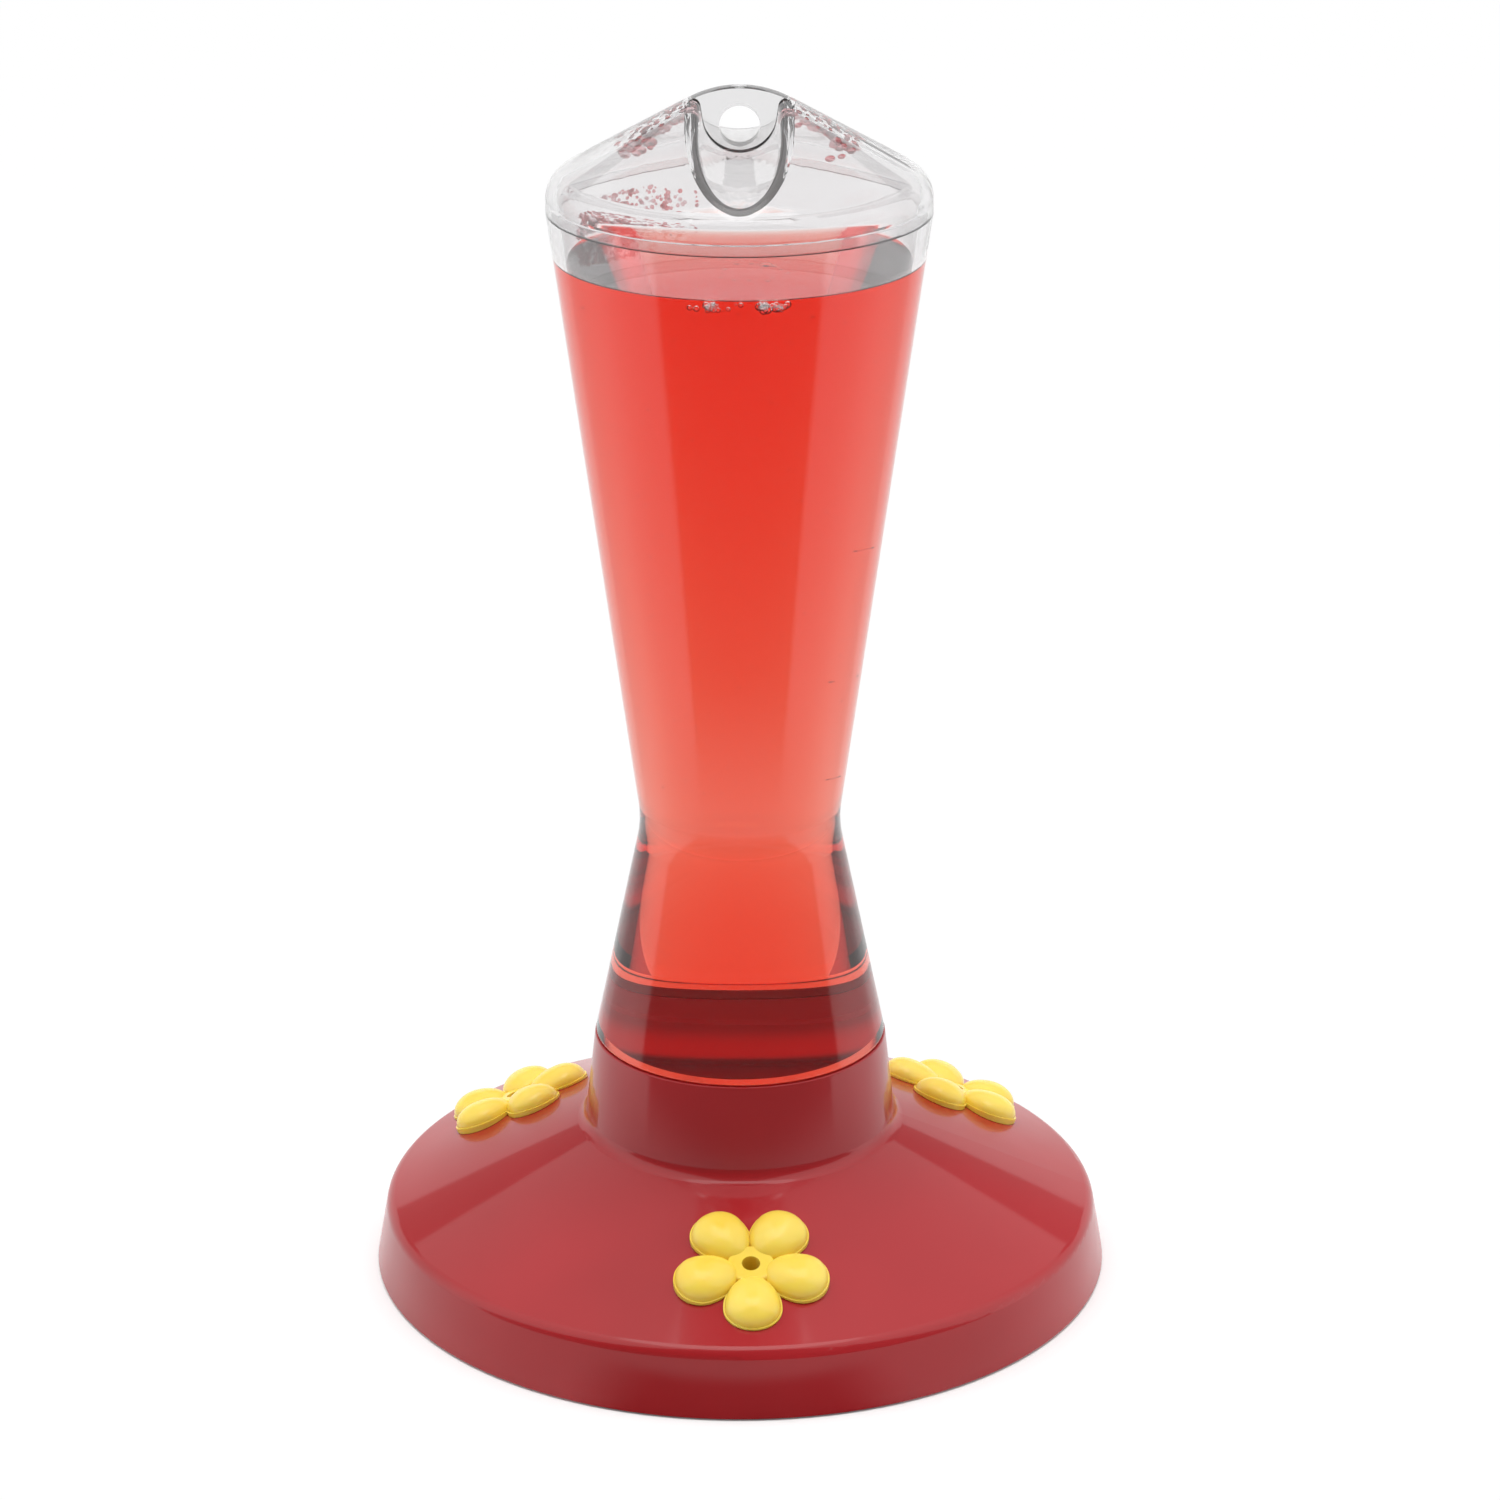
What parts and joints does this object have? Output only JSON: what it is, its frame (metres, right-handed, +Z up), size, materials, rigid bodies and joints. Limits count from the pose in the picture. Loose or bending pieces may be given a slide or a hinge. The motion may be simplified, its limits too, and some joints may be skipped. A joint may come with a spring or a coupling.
{
  "type": "hummingbird feeder",
  "caption": "Pinch-waisted clear nectar bottle screwed into a round red dish base with yellow flower-shaped feeding ports and a hole in its top web to hang it by.",
  "frame": {"origin": "middle of the base, on the surface that the feeder stands on", "axes": "+Z up through the bottle, -Y the front with one flower on it, X along the web that the feeder hangs by"},
  "size_m": [0.1248, 0.1248, 0.2034],
  "materials": {
    "clear_plastic": "clear, polished",
    "nectar_red": "clear red liquid",
    "red_plastic": "glossy moulded",
    "yellow_plastic": "satin moulded",
    "seal_rubber": "matt"
  },
  "bodies": {
    "tray": {"base_tray": "red_plastic", "nectar_tray": "nectar_red"},
    "cover": {"base_cover": "red_plastic"},
    "seal": {"neck_seal": "seal_rubber"},
    "bottle": {"bottle_body": "clear_plastic", "hanger_cap": "clear_plastic", "nectar": "nectar_red"},
    "flower_1": {"flower_port_1": "yellow_plastic"},
    "flower_2": {"flower_port_2": "yellow_plastic"},
    "flower_3": {"flower_port_3": "yellow_plastic"}
  },
  "joints": [
    {"name": "cover_lift", "type": "slide", "parent": "tray", "child": "cover", "axis": [0, 0, 1], "range_m": [0, 0.02]},
    {"name": "bottle_rise", "type": "slide", "parent": "cover", "child": "seal", "axis": [0, 0, 1], "range_m": [0, 0.0087]},
    {"name": "bottle_turn", "type": "hinge", "parent": "seal", "child": "bottle", "pos_m": [0, 0, 0.0343], "axis": [0, 0, 1], "range_deg": [0, 738]},
    {"name": "flower_pull_1", "type": "slide", "parent": "cover", "child": "flower_1", "axis": [0.0148, -0.3864, 0.9222], "range_m": [0, 0.012]},
    {"name": "flower_pull_2", "type": "slide", "parent": "cover", "child": "flower_2", "axis": [0.3272, 0.2061, 0.9222], "range_m": [0, 0.012]},
    {"name": "flower_pull_3", "type": "slide", "parent": "cover", "child": "flower_3", "axis": [-0.3421, 0.1804, 0.9222], "range_m": [0, 0.012]}
  ],
  "couplings": [
    {"joint": "bottle_rise", "follows": "bottle_turn", "m_per_rad": 0.00066845}
  ]
}
